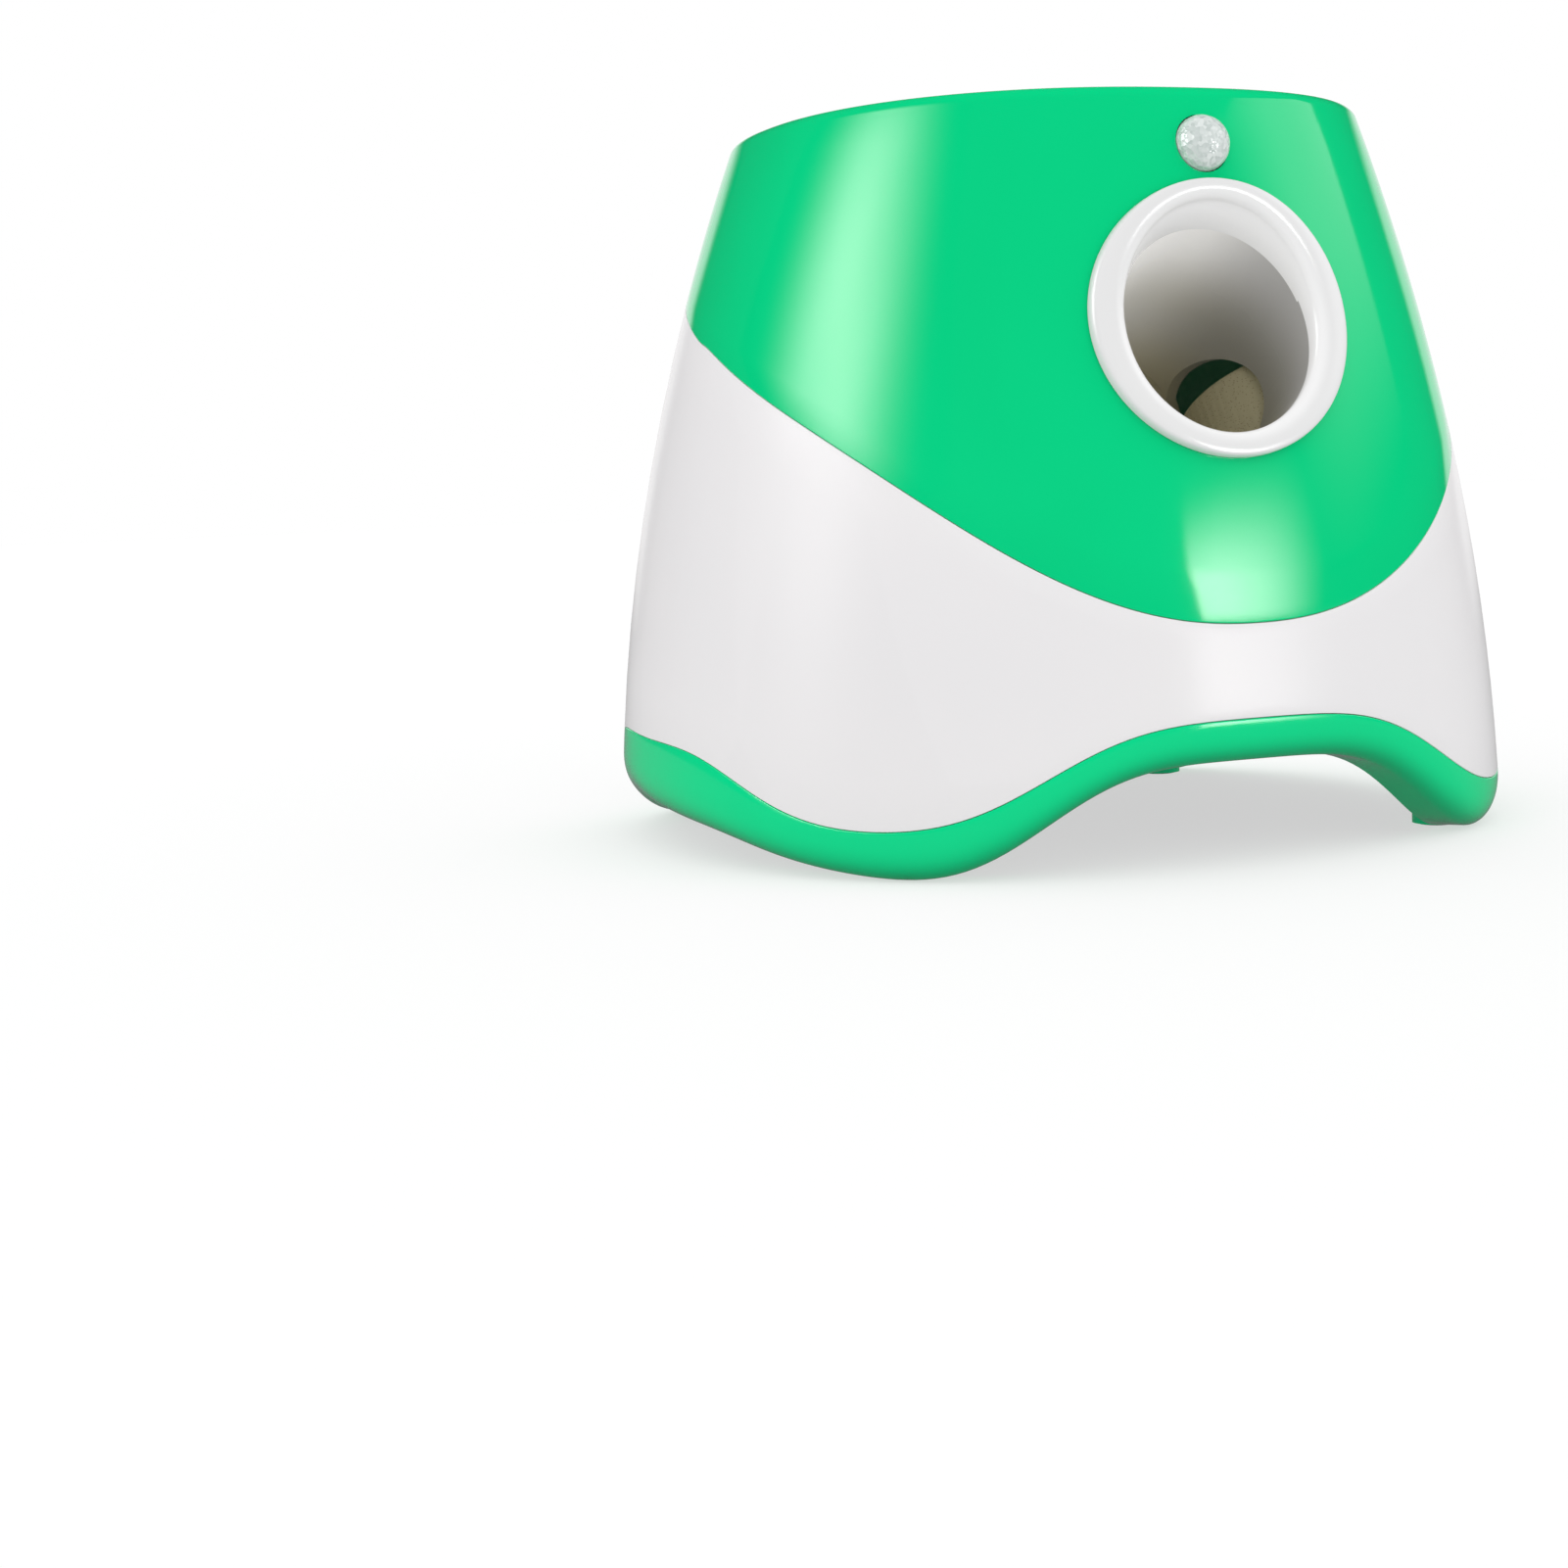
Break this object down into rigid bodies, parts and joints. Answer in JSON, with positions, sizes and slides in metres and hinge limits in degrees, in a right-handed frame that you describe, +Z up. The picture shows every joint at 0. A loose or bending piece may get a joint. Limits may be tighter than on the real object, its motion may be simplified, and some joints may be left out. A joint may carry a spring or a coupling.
{
  "type": "dog ball launcher",
  "caption": "Automatic dog ball launcher: tapered body with a bowl on top, drop chute, slanted launch tube with two spinning wheels, kicker and a ringed mouth at the front.",
  "frame": {"origin": "on the floor, under the middle of the body", "axes": "+Z up, -Y is the front with the mouth, +X is the launcher right side seen from behind"},
  "size_m": [0.2566, 0.2404, 0.2054],
  "materials": {
    "green_plastic": "glossy spring green",
    "white_plastic": "satin white",
    "tube_plastic": "satin off-white",
    "lens_plastic": "milky white, moulded facets",
    "tyre_rubber": "soft beige foam rubber",
    "hub_plastic": "dark grey",
    "motor_can": "plated can",
    "steel": "bright zinc",
    "foot_rubber": "matt black",
    "cell_sleeve": "plain grey-blue sleeve",
    "brass": "bright",
    "dark_plastic": "fine matt texture",
    "pale_plastic": "light grey",
    "circuit_board": "green solder mask",
    "red_plastic": "glossy red",
    "green_light": "clear green",
    "amber_light": "clear amber"
  },
  "bodies": {
    "housing": {"ball_sensor_left": "dark_plastic", "ball_sensor_right": "dark_plastic", "base_plate": "dark_plastic", "base_skirt": "green_plastic", "battery_cell_1": "cell_sleeve", "battery_cell_2": "cell_sleeve", "battery_cell_3": "cell_sleeve", "battery_cell_4": "cell_sleeve", "battery_cell_5": "cell_sleeve", "battery_cell_6": "cell_sleeve", "body_screw_back_left": "steel", "body_screw_back_right": "steel", "body_screw_front_left": "steel", "body_screw_front_right": "steel", "breech_cap": "tube_plastic", "button_switch": "steel", "contact_left": "brass", "contact_right": "brass", "control_panel": "dark_plastic", "door_pin": "steel", "flywheel_motor_left": "motor_can", "flywheel_motor_right": "motor_can", "hopper_bowl": "white_plastic", "kicker_motor": "motor_can", "launch_tube": "tube_plastic", "led_far": "red_plastic", "led_middle": "amber_light", "led_near": "green_light", "lower_shell": "white_plastic", "main_board": "circuit_board", "mouth_ring": "white_plastic", "panel_board": "circuit_board", "power_jack": "dark_plastic", "rubber_foot_back_left": "foot_rubber", "rubber_foot_back_right": "foot_rubber", "rubber_foot_front_left": "foot_rubber", "rubber_foot_front_right": "foot_rubber", "sensor_board": "circuit_board", "sensor_can": "steel", "sensor_lens": "lens_plastic", "speaker": "dark_plastic", "switch_housing": "dark_plastic", "tube_mount": "dark_plastic", "upper_shell": "green_plastic"},
    "flywheel_left": {"flywheel_hub_left": "hub_plastic", "flywheel_tyre_left": "tyre_rubber", "motor_shaft_left": "steel"},
    "flywheel_right": {"flywheel_hub_right": "hub_plastic", "flywheel_tyre_right": "tyre_rubber", "motor_shaft_right": "steel"},
    "kicker": {"kicker_arm": "dark_plastic", "kicker_shaft": "steel", "kicker_gear": "pale_plastic"},
    "pinion": {"kicker_pinion": "brass"},
    "rocker": {"rocker_switch": "red_plastic"},
    "button": {"distance_button": "pale_plastic"},
    "door": {"battery_door": "dark_plastic"}
  },
  "joints": [
    {"name": "flywheel_left_spin", "type": "hinge", "parent": "housing", "child": "flywheel_left", "pos_m": [-0.0515, -0.05521, 0.11306], "axis": [0, 0.5299, 0.848], "continuous": true},
    {"name": "flywheel_right_spin", "type": "hinge", "parent": "housing", "child": "flywheel_right", "pos_m": [0.0515, -0.05521, 0.11306], "axis": [0, 0.5299, 0.848], "continuous": true},
    {"name": "kicker_swing", "type": "hinge", "parent": "housing", "child": "kicker", "pos_m": [0, -0.02852, 0.04804], "axis": [1, 0, 0], "range_deg": [0, 24]},
    {"name": "pinion_turn", "type": "hinge", "parent": "housing", "child": "pinion", "pos_m": [0, -0.01052, 0.04804], "axis": [1, 0, 0], "range_deg": [-48, 0]},
    {"name": "rocker_tilt", "type": "hinge", "parent": "housing", "child": "rocker", "pos_m": [0.024, 0.11023, 0.08174], "axis": [-1, 0, 0], "range_deg": [0, 20]},
    {"name": "button_press", "type": "slide", "parent": "housing", "child": "button", "axis": [0, -0.9901, -0.1407], "range_m": [0, 0.0012], "stiffness_N_per_m": 400, "springref_m": -0.0005},
    {"name": "battery_door_hinge", "type": "hinge", "parent": "housing", "child": "door", "pos_m": [0, -0.0045, 0.0282], "axis": [-1, 0, 0], "range_deg": [0, 95]}
  ],
  "couplings": [
    {"joint": "pinion_turn", "follows": "kicker_swing", "ratio": -2}
  ]
}
